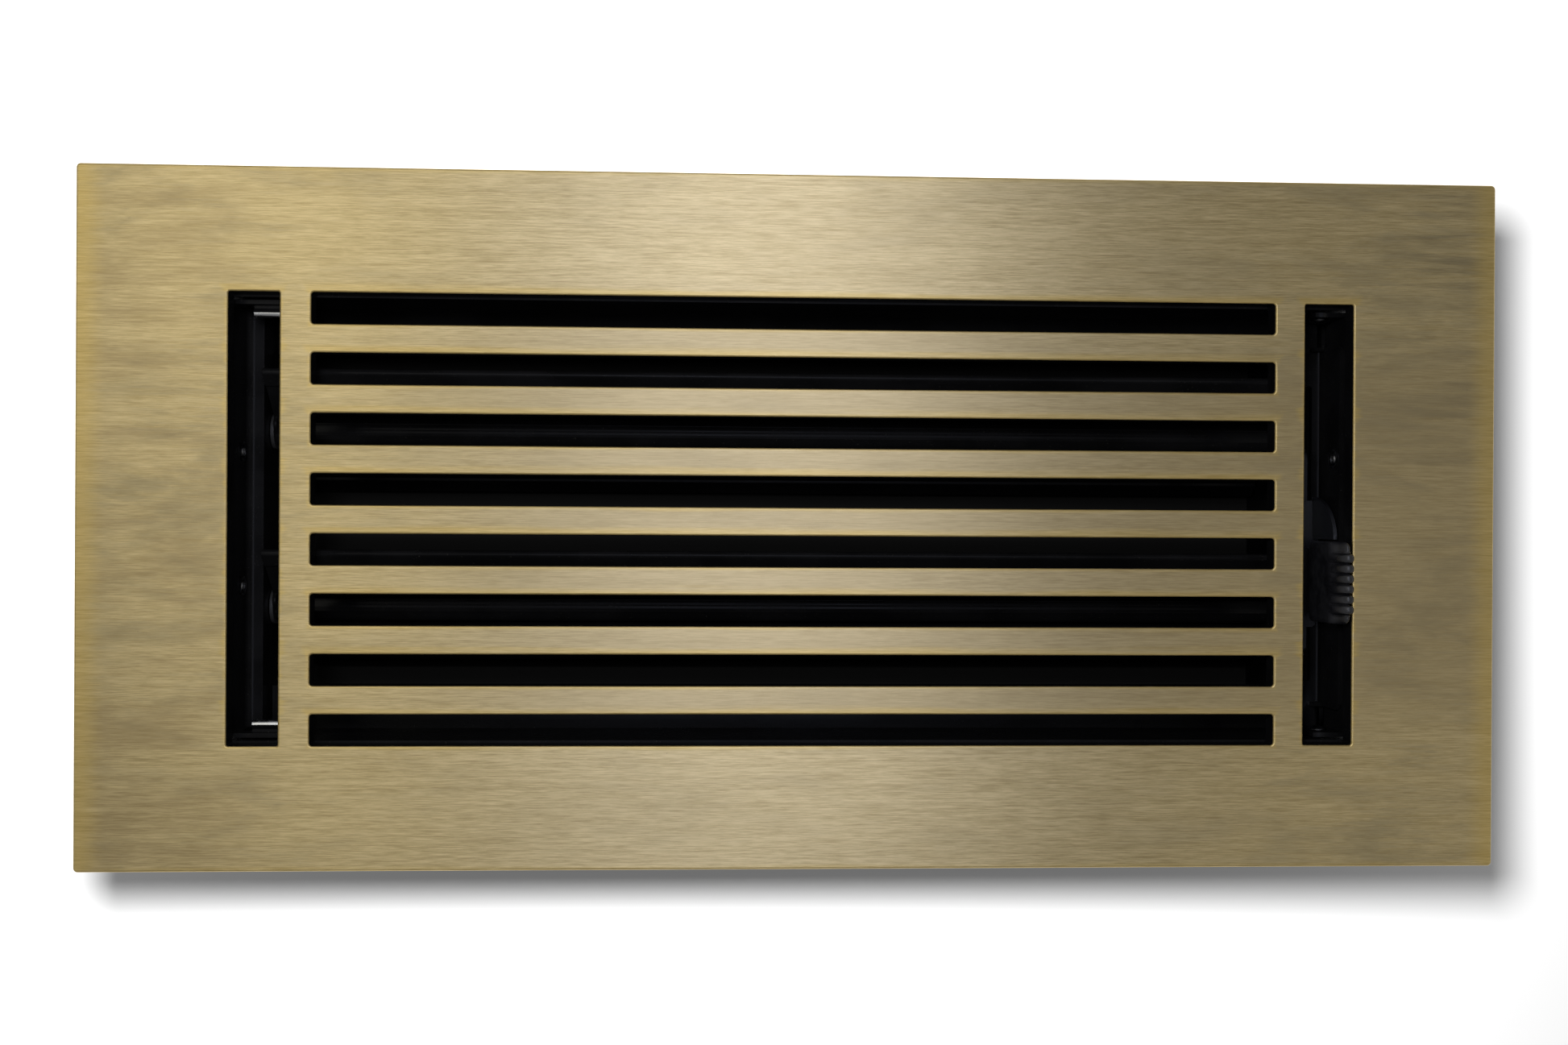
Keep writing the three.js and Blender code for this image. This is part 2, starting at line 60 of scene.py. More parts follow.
class Net:
    """A short way to write shader maths: values are sockets or numbers."""

    def __init__(self, nt):
        self.nt = nt
        self.tc = nt.nodes.new("ShaderNodeTexCoord")
        self.pos = self.tc.outputs["Object"]

    def _in(self, sock, v):
        if isinstance(v, bpy.types.NodeSocket):
            self.nt.links.new(v, sock)
        else:
            sock.default_value = v

    def m(self, op, a, b=None, c=None, clamp=False):
        n = self.nt.nodes.new("ShaderNodeMath")
        n.operation = op
        n.use_clamp = clamp
        self._in(n.inputs[0], a)
        if b is not None:
            self._in(n.inputs[1], b)
        if c is not None:
            self._in(n.inputs[2], c)
        return n.outputs[0]

    def xyz(self, v=None):
        n = self.nt.nodes.new("ShaderNodeSeparateXYZ")
        self.nt.links.new(v or self.pos, n.inputs[0])
        return n.outputs

    def noise(self, scale=(1, 1, 1), detail=2.0, rough=0.5, offset=(0, 0, 0), distortion=0.0, kind="FBM"):
        mp = self.nt.nodes.new("ShaderNodeMapping")
        mp.inputs["Scale"].default_value = scale
        mp.inputs["Location"].default_value = offset
        self.nt.links.new(self.pos, mp.inputs[0])
        n = self.nt.nodes.new("ShaderNodeTexNoise")
        n.noise_type = kind
        n.inputs["Scale"].default_value = 1.0
        n.inputs["Detail"].default_value = detail
        n.inputs["Roughness"].default_value = rough
        n.inputs["Distortion"].default_value = distortion
        self.nt.links.new(mp.outputs[0], n.inputs["Vector"])
        return n.outputs["Fac"]

    def ramp(self, fac, a, b, lo=0.0, hi=1.0, smooth=True):
        n = self.nt.nodes.new("ShaderNodeMapRange")
        n.interpolation_type = "SMOOTHSTEP" if smooth else "LINEAR"
        self.nt.links.new(fac, n.inputs["Value"])
        for k, v in (("From Min", a), ("From Max", b), ("To Min", lo), ("To Max", hi)):
            n.inputs[k].default_value = v
        return n.outputs["Result"]

    def mix(self, fac, a, b, blend="MIX"):
        n = self.nt.nodes.new("ShaderNodeMix")
        n.data_type = "RGBA"
        n.blend_type = blend
        self._in(n.inputs[0], fac)
        for i, v in ((6, a), (7, b)):
            self._in(n.inputs[i], v if isinstance(v, bpy.types.NodeSocket) else (*v, 1.0))
        return n.outputs[2]

    def bump(self, height, strength, distance, normal=None):
        n = self.nt.nodes.new("ShaderNodeBump")
        n.inputs["Strength"].default_value = strength
        n.inputs["Distance"].default_value = distance
        self.nt.links.new(height, n.inputs["Height"])
        if normal is not None:
            self.nt.links.new(normal, n.inputs["Normal"])
        return n.outputs[0]


# ---------------------------------------------------------------- materials
SLOT_HALF_L, SLOT_H, PITCH, END_IN, END_OUT, G_HALF = 101.4, 6.5, 12.5, 107.9, 118.35, 47.0
PL, PW, PT = 149.25, 73.0, 5.0


def brass_material():
    m, nt, b = new_mat("antique_brass_brushed")
    n = Net(nt)
    X, Y, Z = n.xyz()
    ax = n.m("MULTIPLY", n.m("ABSOLUTE", X), 1000.0)
    ay = n.m("MULTIPLY", n.m("ABSOLUTE", Y), 1000.0)
    # distance in mm to the nearest worn edge: perimeter, air slots, end slots
    d_per = n.m("MINIMUM", n.m("SUBTRACT", PL, ax), n.m("SUBTRACT", PW, ay))
    my = n.m("SUBTRACT", n.m("ABSOLUTE", n.m("SUBTRACT", n.m("MODULO", ay, PITCH), PITCH / 2)), SLOT_H / 2)
    dy = n.m("MAXIMUM", my, n.m("SUBTRACT", ay, G_HALF))
    d_slot = n.m("MAXIMUM", dy, n.m("SUBTRACT", ax, SLOT_HALF_L))
    ex = n.m("SUBTRACT", n.m("ABSOLUTE", n.m("SUBTRACT", ax, (END_IN + END_OUT) / 2)), (END_OUT - END_IN) / 2)
    d_end = n.m("MAXIMUM", ex, n.m("SUBTRACT", ay, G_HALF))
    d_in = n.m("MINIMUM", d_slot, d_end)
    fine = n.noise((210, 5400, 5400), 4, 0.68)
    mid = n.noise((85, 2000, 2000), 3, 0.6, (3, 7, 1))
    long = n.noise((22, 760, 760), 3, 0.55, (9, 2, 5))
    blot = n.noise((34, 120, 60), 4, 0.6, (1.3, 4.1, 0), 0.5)
    cloud = n.noise((12, 26, 20), 2, 0.5, (7.3, 2.2, 0))
    speck = n.noise((1100, 1700, 900), 2, 0.5, (2, 2, 2))
    streak = n.m("ADD", n.m("MULTIPLY", fine, 0.52), n.m("ADD", n.m("MULTIPLY", mid, 0.33), n.m("MULTIPLY", long, 0.15)))
    # olive patina: faint all over, stronger towards the two ends of the plate, in short streaks
    ends = n.ramp(ax, 60.0, 135.0, 0.35, 1.0)
    pat = n.ramp(n.m("ADD", n.m("MULTIPLY", blot, 0.50), n.m("ADD", n.m("MULTIPLY", cloud, 0.25), n.m("MULTIPLY", mid, 0.25))), 0.47, 0.62)
    pat = n.m("MULTIPLY", pat, ends)
    base = n.mix(n.ramp(streak, 0.375, 0.625), (0.420, 0.326, 0.160), (0.675, 0.543, 0.296))
    base = n.mix(n.m("MULTIPLY", pat, 0.50), base, (0.300, 0.252, 0.150))
    # long dark smears beyond the end slots, and soft brown stains at the left-hand end
    smear = n.m("MULTIPLY", n.ramp(n.noise((24, 360, 260), 4, 0.62, (5.2, 1.1, 0), 0.3), 0.46, 0.70), n.ramp(X, 0.114, 0.142))
    smear = n.m("MULTIPLY", smear, n.ramp(Y, -0.030, 0.015, 0.25, 1.0))
    base = n.mix(n.m("MULTIPLY", smear, 0.50), base, (0.205, 0.176, 0.115))
    stain = n.m("MULTIPLY", n.ramp(n.noise((22, 120, 90), 5, 0.62, (3.4, 6.3, 0), 0.2), 0.45, 0.62), n.ramp(X, -0.104, -0.130))
    base = n.mix(n.m("MULTIPLY", stain, 0.38), base, (0.295, 0.218, 0.112))
    # painted shade: the bars across the slotted field are darkened from near the middle to the right-hand end
    bar_painted_shade = n.m("MULTIPLY", n.ramp(n.m("ADD", ay, n.m("MULTIPLY", n.m("SUBTRACT", cloud, 0.5), 30.0)), 48.0, 36.0), n.ramp(X, -0.105, -0.045))
    base = n.mix(n.m("MULTIPLY", bar_painted_shade, 0.42), base, (0.360, 0.285, 0.160))
    dark_line = n.ramp(n.m("ADD", n.m("MULTIPLY", mid, 0.6), n.m("MULTIPLY", fine, 0.4)), 0.37, 0.29)
    base = n.mix(n.m("MULTIPLY", dark_line, n.m("MULTIPLY", n.m("ADD", pat, 0.25), 0.55)), base, (0.150, 0.118, 0.062))
    # golden wear beside every edge
    wob = n.m("MULTIPLY", n.m("SUBTRACT", long, 0.5), 2.4)
    cell = n.m("SUBTRACT", n.m("MODULO", n.m("ADD", n.m("MULTIPLY", Y, 1000.0), 50.0), PITCH), PITCH / 2)
    above = n.ramp(cell, 2.8, 3.4)
    w_in = n.ramp(n.m("ADD", n.m("MULTIPLY", d_in, n.m("SUBTRACT", 1.7, n.m("MULTIPLY", above, 0.9))), wob), 1.7, 0.0)
    w_per = n.ramp(n.m("ADD", n.m("SUBTRACT", PL, ax), wob), 6.6, 0.8)
    w_top = n.ramp(n.m("ADD", d_per, n.m("MULTIPLY", wob, 0.4)), 1.3, 0.0)
    wear = n.m("MAXIMUM", w_in, n.m("MAXIMUM", n.m("MULTIPLY", w_per, 1.0), n.m("MULTIPLY", w_top, 0.7)))
    gold = n.mix(n.ramp(streak, 0.35, 0.65), (0.520, 0.370, 0.118), (0.720, 0.545, 0.215))
    base = n.mix(n.m("MULTIPLY", wear, 0.75), base, gold)
    # painted shade: the plate's side faces are coloured a darker brown than its top
    side = n.ramp(Z, 0.00475, 0.0043)
    base = n.mix(n.m("MULTIPLY", side, 0.80), base, n.mix(n.ramp(streak, 0.36, 0.64), (0.175, 0.135, 0.072), (0.300, 0.235, 0.130)))
    pits = n.ramp(speck, 0.21, 0.14)
    base = n.mix(n.m("MULTIPLY", pits, 0.7), base, (0.08, 0.065, 0.04))
    nt.links.new(base, b.inputs["Base Color"])
    b.inputs["Metallic"].default_value = 1.0
    rough = n.m("ADD", n.m("MULTIPLY", streak, 0.22), n.m("MULTIPLY", pat, 0.06))
    nt.links.new(n.m("ADD", rough, 0.22), b.inputs["Roughness"])
    b.inputs["Anisotropic"].default_value = 0.72
    b.inputs["Anisotropic Rotation"].default_value = 0.25  # the highlight runs across the brushing
    tan = nt.nodes.new("ShaderNodeTangent")
    tan.direction_type = "UV_MAP"
    nt.links.new(tan.outputs[0], b.inputs["Tangent"])
    nrm = n.bump(fine, 0.28, 0.00004)
    nrm = n.bump(mid, 0.20, 0.00006, nrm)
    nt.links.new(nrm, b.inputs["Normal"])
    return m


def black_paint(name="black_paint", base=(0.0010, 0.0010, 0.0011), rough=0.25, coat=0.0, spec=0.075):
    m, nt, b = new_mat(name)
    n = Net(nt)
    peel = n.noise((700, 700, 700), 2, 0.5)
    cloud = n.noise((45, 60, 60), 3, 0.6, (2, 5, 1))
    dust = n.noise((2600, 2600, 2600), 1, 0.5, (4, 4, 4))
    col = n.mix(n.ramp(cloud, 0.35, 0.7), base, tuple(c * 1.9 for c in base))
    col = n.mix(n.m("MULTIPLY", n.ramp(dust, 0.70, 0.80), 0.35), col, (0.020, 0.019, 0.018))
    nt.links.new(col, b.inputs["Base Color"])
    b.inputs["Metallic"].default_value = 0.0
    nt.links.new(n.ramp(cloud, 0.3, 0.75, rough - 0.05, rough + 0.10), b.inputs["Roughness"])
    b.inputs["Specular IOR Level"].default_value = spec
    b.inputs["Coat Weight"].default_value = coat
    b.inputs["Coat Roughness"].default_value = 0.12
    nt.links.new(n.bump(peel, 0.18, 0.00005), b.inputs["Normal"])
    return m


def plastic():
    m, nt, b = new_mat("black_plastic_moulded")
    n = Net(nt)
    grain = n.noise((5200, 5200, 5200), 2, 0.6)
    soft = n.noise((260, 320, 260), 3, 0.6, (1, 2, 3))
    col = n.mix(n.ramp(soft, 0.35, 0.7), (0.0022, 0.0022, 0.0027), (0.0052, 0.0052, 0.0060))
    nt.links.new(col, b.inputs["Base Color"])
    nt.links.new(n.ramp(soft, 0.3, 0.7, 0.27, 0.38), b.inputs["Roughness"])
    b.inputs["Specular IOR Level"].default_value = 0.62
    nrm = n.bump(grain, 0.30, 0.00004)
    nt.links.new(n.bump(soft, 0.07, 0.0002, nrm), b.inputs["Normal"])
    return m


def plated(name, lo, hi, rough):
    m, nt, b = new_mat(name)
    n = Net(nt)
    c = n.noise((420, 420, 420), 4, 0.6)
    f = n.noise((2600, 2600, 2600), 2, 0.5, (1, 1, 1))
    nt.links.new(n.mix(n.ramp(c, 0.35, 0.65), lo, hi), b.inputs["Base Color"])
    b.inputs["Metallic"].default_value = 1.0
    nt.links.new(n.ramp(c, 0.3, 0.7, rough - 0.08, rough + 0.12), b.inputs["Roughness"])
    nt.links.new(n.bump(f, 0.15, 0.00003), b.inputs["Normal"])
    return m


def nylon():
    m, nt, b = new_mat("nylon_moulded")
    n = Net(nt)
    c = n.noise((600, 600, 600), 3, 0.6)
    nt.links.new(n.mix(c, (0.0030, 0.0030, 0.0032), (0.0065, 0.0065, 0.0070)), b.inputs["Base Color"])
    nt.links.new(n.ramp(c, 0.3, 0.7, 0.42, 0.58), b.inputs["Roughness"])
    nt.links.new(n.bump(n.noise((3000, 3000, 3000), 1), 0.2, 0.00003), b.inputs["Normal"])
    return m


BRASS, BLACK, KNOB = brass_material(), black_paint(), plastic()
SATIN = black_paint("black_paint_satin", (0.0014, 0.0014, 0.0016), 0.42, 0.0, 0.14)
LEVER = black_paint("black_enamel_lever", (0.0017, 0.0018, 0.0023), 0.36, 0.0, 0.46)
DULL = plated("dull_zinc_plate", (0.16, 0.16, 0.165), (0.30, 0.30, 0.305), 0.34)
WORN = plated("worn_bare_steel_edge", (0.50, 0.50, 0.51), (0.74, 0.74, 0.75), 0.26)
ZINC = plated("zinc_plate", (0.42, 0.43, 0.45), (0.62, 0.63, 0.64), 0.30)
DARK = plated("dark_zinc_plate", (0.055, 0.055, 0.058), (0.11, 0.11, 0.115), 0.32)
NYLON = nylon()


# ---------------------------------------------------------------- mesh helpers
def add_object(name, mesh, mats, body, replaces=(), angle=35, weighted=False):
    o = bpy.data.objects.new(name, mesh)
    bpy.context.scene.collection.objects.link(o)
    for mt in mats if isinstance(mats, (list, tuple)) else [mats]:
        mesh.materials.append(mt)
    if angle is not None:
        mesh.polygons.foreach_set("use_smooth", [True] * len(mesh.polygons))
        mesh.set_sharp_from_angle(angle=math.radians(angle))
    if weighted:
        w = o.modifiers.new("even", "WEIGHTED_NORMAL")
        w.keep_sharp = True
        w.weight = 100
    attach(o, body)
    if replaces:
        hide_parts(*replaces)
    return o


def bm_mesh(name, bm):
    me = bpy.data.meshes.new(name)
    bmesh.ops.recalc_face_normals(bm, faces=bm.faces)
    bm.to_mesh(me)
    bm.free()
    return me


def arc_rect(x0, x1, y0, y1, r, seg=5):
    pts = []
    for cx, cy, a0 in ((x1 - r, y0 + r, -90), (x1 - r, y1 - r, 0), (x0 + r, y1 - r, 90), (x0 + r, y0 + r, 180)):
        for k in range(seg + 1):
            a = math.radians(a0 + 90 * k / seg)
            pts.append((cx + r * math.cos(a), cy + r * math.sin(a)))
    return pts


def plate_from_outlines(name, outer, holes, z0, z1, bevel, res=3):
    """A flat plate with rounded edges, from outlines in mm."""
    cu = bpy.data.curves.new(name, "CURVE")
    cu.dimensions = "2D"
    cu.fill_mode = "BOTH"
    for pts in [outer] + holes:
        sp = cu.splines.new("POLY")
        sp.points.add(len(pts) - 1)
        for p, (x, y) in zip(sp.points, pts):
            p.co = (x * MM, y * MM, 0, 1)
        sp.use_cyclic_u = True
    cu.bevel_depth = bevel * MM
    cu.bevel_resolution = res
    cu.offset = -bevel * MM
    cu.extrude = ((z1 - z0) / 2 - bevel) * MM
    tmp = bpy.data.objects.new(name + "_tmp", cu)
    bpy.context.scene.collection.objects.link(tmp)
    bpy.context.view_layer.update()
    dg = bpy.context.evaluated_depsgraph_get()
    me = bpy.data.meshes.new_from_object(tmp.evaluated_get(dg), depsgraph=dg)
    bpy.data.objects.remove(tmp)
    bpy.data.curves.remove(cu)
    me.transform(Matrix.Translation((0, 0, (z0 + z1) / 2 * MM)))
    return me


def boolean_mesh(a, b, op="DIFFERENCE"):
    """Mesh a with mesh b taken away, joined or kept in common."""
    oa, ob = bpy.data.objects.new("bool_a", a), bpy.data.objects.new("bool_b", b)
    for o in (oa, ob):
        bpy.context.scene.collection.objects.link(o)
    for me in (a, b):
        t = bmesh.new()
        t.from_mesh(me)
        bmesh.ops.remove_doubles(t, verts=t.verts, dist=1e-6)
        bmesh.ops.recalc_face_normals(t, faces=t.faces)
        t.to_mesh(me)
        t.free()
    md = oa.modifiers.new("b", "BOOLEAN")
    md.operation, md.solver, md.object = op, "EXACT", ob
    md.use_self = True
    bpy.context.view_layer.update()
    dg = bpy.context.evaluated_depsgraph_get()
    out = bpy.data.meshes.new_from_object(oa.evaluated_get(dg), depsgraph=dg)
    bpy.data.objects.remove(oa)
    bpy.data.objects.remove(ob)
    return out


# ---------------------------------------------------------------- cover plate
def cover_plate():
    holes = []
    for i in range(8):
        y = (i - 3.5) * PITCH
        holes.append(arc_rect(-SLOT_HALF_L, SLOT_HALF_L, y - SLOT_H / 2, y + SLOT_H / 2, 0.6))
    for s in (-1, 1):
        a, b = sorted((s * END_IN, s * END_OUT))
        holes.append(arc_rect(a, b, -G_HALF, G_HALF, 0.35))
    outer = arc_rect(-PL, PL, -PW, PW, 0.9, 6)
    whole = plate_from_outlines("plate_whole", outer, holes, 0.0, PT, 0.45, 3)
    recess = plate_from_outlines("plate_recess", arc_rect(-132, 132, -56, 56, 1.5, 6), [arc_rect(-104.6, 104.6, -41, 41, 0.5, 2)], -1.0, 0.4, 0.0, 0)
    bm = bmesh.new()
    bm.from_mesh(boolean_mesh(whole, recess))
    me = bpy.data.meshes.new("cover_plate")
    uv = bm.loops.layers.uv.new("UVMap")
    for f in bm.faces:
        c = f.calc_center_median() * 1000
        inside = abs(c.x) < 120 and abs(c.y) < 47.6
        n = f.normal
        wall = abs(n.z) < 0.55
        f.material_index = 1 if (n.z < -0.4) or (inside and (wall and c.z < 4.9) and c.z < 4.7) else 0
        if c.z < 0.45 and not (abs(c.x) > 149 or abs(c.y) > 72.8):
            f.material_index = 1
        for l in f.loops:
            l[uv].uv = (l.vert.co.x * 3, l.vert.co.y * 3 + l.vert.co.z * 3)
        f.smooth = True
    bm.to_mesh(me)
    bm.free()
    o = add_object("cover_plate", me, [BRASS, BLACK], "frame", ["face_plate"], 38, True)
    return o


cover_plate()


# ---------------------------------------------------------------- thumb knob
def knob():
    """Thumb knob: upright inner face, sloped crest with six pill-shaped ribs that run over its outer edge."""
    KY, KL, KX0, KX1, TOP, BOT = -12.4, 17.6, 113.9, 118.0, 8.2, -8.2
    ribs, pitch, half, RY = 6, 2.18, 0.88, -12.6
    bm = bmesh.new()
    y0, y1 = KY - KL / 2, KY + KL / 2

    def sink(y):
        """How deep the surface lies below a rib's crown at y: a rounded crown, a narrow flat-bottomed groove."""
        t = (y - RY) / pitch
        if abs(t) > ribs / 2:
            e = abs(y - RY) - (ribs - 1) / 2 * pitch
        else:
            e = abs((t + ribs / 2) % 1.0 - 0.5) * pitch
        k = min(e / half, 1.0)
        d = 0.50 * (1 - math.sqrt(max(0.0, 1 - k ** 2.4)))
        if e > half:
            d += min(0.62, (e - half) / 0.20 * 0.55) if abs(t) <= ribs / 2 else min(0.35, (e - half) * 0.5)
        return d

    # crown line of a rib in XZ, from the outer side over the crest and down the slope, with its outward direction
    crown = [(118.0, -1.0, 1.0, 0.0), (118.0, 2.0, 1.0, 0.0), (118.0, 4.6, 1.0, 0.0), (118.0, 6.3, 0.98, 0.17)]
    for k in range(1, 8):
        a = math.pi / 2 * k / 7
        crown.append((118.0 - 1.5 + 1.5 * math.cos(a), 8.2 - 1.5 + 1.5 * math.sin(a), math.cos(a), math.sin(a)))
    crown += [(116.0, 8.02, -0.35, 0.94), (115.55, 7.62, -0.62, 0.78), (115.05, 6.95, -0.78, 0.62), (114.62, 6.2, -0.87, 0.49), (114.3, 5.45, -0.92, 0.39)]
    n_low = len(crown)
    crown += [(114.12, 4.75, -0.94, 0.34), (113.98, 4.0, -0.97, 0.2), (113.9 + 0.01, 3.5, -1.0, 0.0)]
    ys = []
    n = 230
    for i in range(n + 1):
        ys.append(y0 + KL * i / n)
    sections = []
    for y in ys:
        e = min(y - y0, y1 - y)
        pull = 1.0 - math.sqrt(max(0.0, 1 - (1 - min(e / 1.5, 1.0)) ** 2))
        d = sink(y)
        inn = KX0 + pull * 0.45
        pts = [(inn + 0.3, BOT), (117.1 - pull * 0.5, BOT), (117.4 - pull * 0.5, BOT + 0.3), (117.4 - pull * 0.5, -1.9)]
        for j, (x, z, nx, nz) in enumerate(crown):
            f = 1.0 if j < n_low - 1 else (0.85 if j == n_low - 1 else (0.55 if j == n_low else (0.2 if j == n_low + 1 else 0.0)))
            if j == 0:
                f = 0.5
            dd = (d if j > 2 else max(d, 0.0)) * f
            px, pz = x - nx * dd, z - nz * dd
            up = max(0.0, (pz + 1.0) / 9.2)
            px -= pull * (0.85 if nx > 0 else -0.35) * min(1.0, abs(nx) + 0.2)
            pz -= pull * 1.5 * up
            pts.append((min(px, KX1), pz))
        pts += [(inn, 2.8), (inn, 0.0), (inn, BOT + 0.3)]
        sections.append([bm.verts.new((x * MM, y * MM, z * MM)) for x, z in pts])
    m = len(sections[0])
    for a, b in zip(sections, sections[1:]):
        for j in range(m):
            bm.faces.new((a[j], a[(j + 1) % m], b[(j + 1) % m], b[j]))
    bm.faces.new(sections[0])
    bm.faces.new(list(reversed(sections[-1])))
    return add_object("thumb_knob", bm_mesh("thumb_knob", bm), KNOB, "lever", ["lever_knob"], 42)


knob()

# ---------------------------------------------------------------- sheet metal: CAD shapes with real bends and rolled edges
BODY_OF = {n: b for b, ns in frame["record"]["behaviour"]["bodies"].items() for n in ns}


def refined(node, mat, bevel=0.15, seg=2, angle=28, smooth=40, worn=None, merge=2e-6):
    """The CAD node's own shape with its flat faces merged, its edges rounded and its curves shaded smooth."""
    bm = bmesh.new()
    bm.from_mesh(NODES[node].data)
    bm.transform(NODES[node].matrix_world)
    bmesh.ops.remove_doubles(bm, verts=bm.verts, dist=merge)
    bmesh.ops.dissolve_limit(bm, angle_limit=math.radians(0.5), verts=bm.verts, edges=bm.edges, delimit=set())
    bm.normal_update()
    if bevel:
        edges = [e for e in bm.edges if len(e.link_faces) == 2 and e.calc_face_angle(0) > math.radians(angle)]
        bmesh.ops.bevel(bm, geom=edges, offset=bevel * MM, offset_type="OFFSET", segments=seg, profile=0.5,
                        affect="EDGES", clamp_overlap=True, miter_outer="ARC")
    if worn:
        for f in bm.faces:
            if worn(f.calc_center_median() / MM):
                f.material_index = 1
        mat = [mat, WORN]
    me = bm_mesh("fine_" + node, bm)
    return add_object("fine_" + node, me, mat, BODY_OF[node], [node], smooth, True)


for nm in ("rear_rail", "front_rail", "right_end_wall"):
    refined(nm, BLACK, 0)
for nm in ("end_bracket_left", "end_bracket_right"):
    refined(nm, BLACK, 0.20, 2, merge=7e-5)
# the rolled corner edges of the left-hand wall are rubbed bare along their crowns
refined("left_end_wall", BLACK, 0.22, 3, worn=lambda c: -115.6 < c.x < -109 and abs(c.y) < 43.75 and c.z > -5.0)
for nm in ("blade_rear", "blade_front"):
    refined(nm, BLACK, 0.18, 2)
for nm in ("link_bar", "crank_arm_rear", "crank_arm_front"):
    refined(nm, BLACK, 0.16, 2)
refined("lever_slider", LEVER, 0.20, 2, merge=1.1e-4)
for fr in ("front", "rear"):
    for lr in ("left", "right"):
        refined(f"pivot_bush_{fr}_{lr}", NYLON, 0.12)


# ---------------------------------------------------------------- fasteners: turned, domed and cross-slotted
def lathe(bm, profile, axis, origin, steps=40):
    """Turns a profile of (radius, height) points, in mm, about an axis through origin."""
    z = Vector(axis).normalized()
    x = z.orthogonal().normalized()
    y = z.cross(x)
    rings = []
    for r, h in profile:
        if r < 1e-6:
            rings.append([bm.verts.new((Vector(origin) + z * h) * MM)])
        else:
            rings.append([bm.verts.new((Vector(origin) + z * h + (x * math.cos(t) + y * math.sin(t)) * r) * MM)
                          for t in (2 * math.pi * k / steps for k in range(steps))])
    for a, b in zip(rings, rings[1:]):
        if len(a) == 1 and len(b) == 1:
            continue
        for k in range(steps):
            j = (k + 1) % steps
            if len(a) == 1:
                bm.faces.new((a[0], b[k], b[j]))
            elif len(b) == 1:
                bm.faces.new((a[k], a[j], b[0]))
            else:
                bm.faces.new((a[k], a[j], b[j], b[k]))
    return rings


def arc(r, h, rad, a0, a1, n=6):
    return [(r + rad * math.cos(math.radians(a0 + (a1 - a0) * i / n)), h + rad * math.sin(math.radians(a0 + (a1 - a0) * i / n))) for i in range(n + 1)]


def screw(node, x, y, mat):
    """Pan-head screw driven up into the plate: head below, cross recess in it."""
    bm = bmesh.new()
    R, top, low = 2.5, -1.2, -2.7
    prof = [(0, 3.0), (0.9, 2.95), (1.35, 2.3)]
    h = 2.2
    while h > -1.0:  # thread
        prof += [(1.38, h), (1.12, h - 0.22)]
        h -= 0.44
    prof += [(1.4, -1.0), (1.4, top), (R - 0.15, top), (R, top - 0.12)] + arc(R - 0.62, low + 0.62, 0.62, 0, -90, 5)[0:] + [(0, low)]
    lathe(bm, prof, (0, 0, 1), (x, y, 0), 36)
    me = bm_mesh("fine_" + node, bm)
    o = add_object("fine_" + node, me, mat, "frame", [node], 35)
    cut = bmesh.new()
    for dx, dy in ((1.35, 0.30), (0.30, 1.35)):
        vs = [cut.verts.new(((x + sx * dx * k) * MM, (y + sy * dy * k) * MM, z * MM)) for z, k in ((low - 0.4, 1.1), (low + 0.95, 0.55)) for sx, sy in ((-1, -1), (1, -1), (1, 1), (-1, 1))]
        for q in ((0, 1, 2, 3), (7, 6, 5, 4), (0, 4, 5, 1), (1, 5, 6, 2), (2, 6, 7, 3), (3, 7, 4, 0)):
            cut.faces.new([vs[i] for i in q])
    cm = bm_mesh("cut", cut)
    co_ = bpy.data.objects.new("cut_tmp", cm)
    bpy.context.scene.collection.objects.link(co_)
    md = o.modifiers.new("cross", "BOOLEAN")
    md.operation, md.solver, md.object = "DIFFERENCE", "EXACT", co_
    md.use_self = True
    bpy.context.view_layer.update()
    dg = bpy.context.evaluated_depsgraph_get()
    new = bpy.data.meshes.new_from_object(o.evaluated_get(dg), depsgraph=dg)
    o.modifiers.remove(md)
    o.data = new
    bpy.data.objects.remove(co_)
    new.polygons.foreach_set("use_smooth", [True] * len(new.polygons))
    new.set_sharp_from_angle(angle=math.radians(35))
    return o


def rivet(node, axis, origin, lo, hi, r, head, mat, body="frame", tail=None):
    """A shank with a domed head at each end; tail is the far head's radius."""
    bm = bmesh.new()
    tail = tail or head
    d = 0.42 * head
    prof = [(0, lo)] + [(tail * math.sin(math.radians(a)), lo + 0.42 * tail * (1 - math.cos(math.radians(a)))) for a in (20, 40, 60, 75, 90)]
    prof += [(tail * 0.96, lo + 0.42 * tail + 0.12), (r, lo + 0.42 * tail + 0.12), (r, hi - d - 0.12), (head * 0.96, hi - d - 0.12)]
    prof += [(head * math.sin(math.radians(a)), hi - d * (1 - math.cos(math.radians(a)))) for a in (90, 75, 60, 40, 20)] + [(0, hi)]
    lathe(bm, prof, axis, origin, 32)
    return add_object("fine_" + node, bm_mesh("fine_" + node, bm), mat, body, [node], 40)


def eyelet(node, s, y, z, inner, mat):
    """A hollow eyelet: flared, rolled lip inside the box and outside the bracket."""
    bm = bmesh.new()
    a, b = inner - 0.6, 122.5
    prof = [(1.05, a + 0.35)] + arc(1.62, a + 0.36, 0.52, 180, 0, 8)[1:] + [(1.95, a + 0.5), (1.5, a + 0.52), (1.5, b - 0.6), (2.1, b - 0.6)]
    prof += arc(1.68, b - 0.42, 0.58, 0, 180, 8) + [(1.05, b - 0.6)]
    rings = lathe(bm, prof, (s, 0, 0), (0, y, z), 32)
    for k in range(32):
        bm.faces.new((rings[-1][k], rings[-1][(k + 1) % 32], rings[0][(k + 1) % 32], rings[0][k]))
    return add_object("fine_" + node, bm_mesh("fine_" + node, bm), mat, "frame", [node], 60)


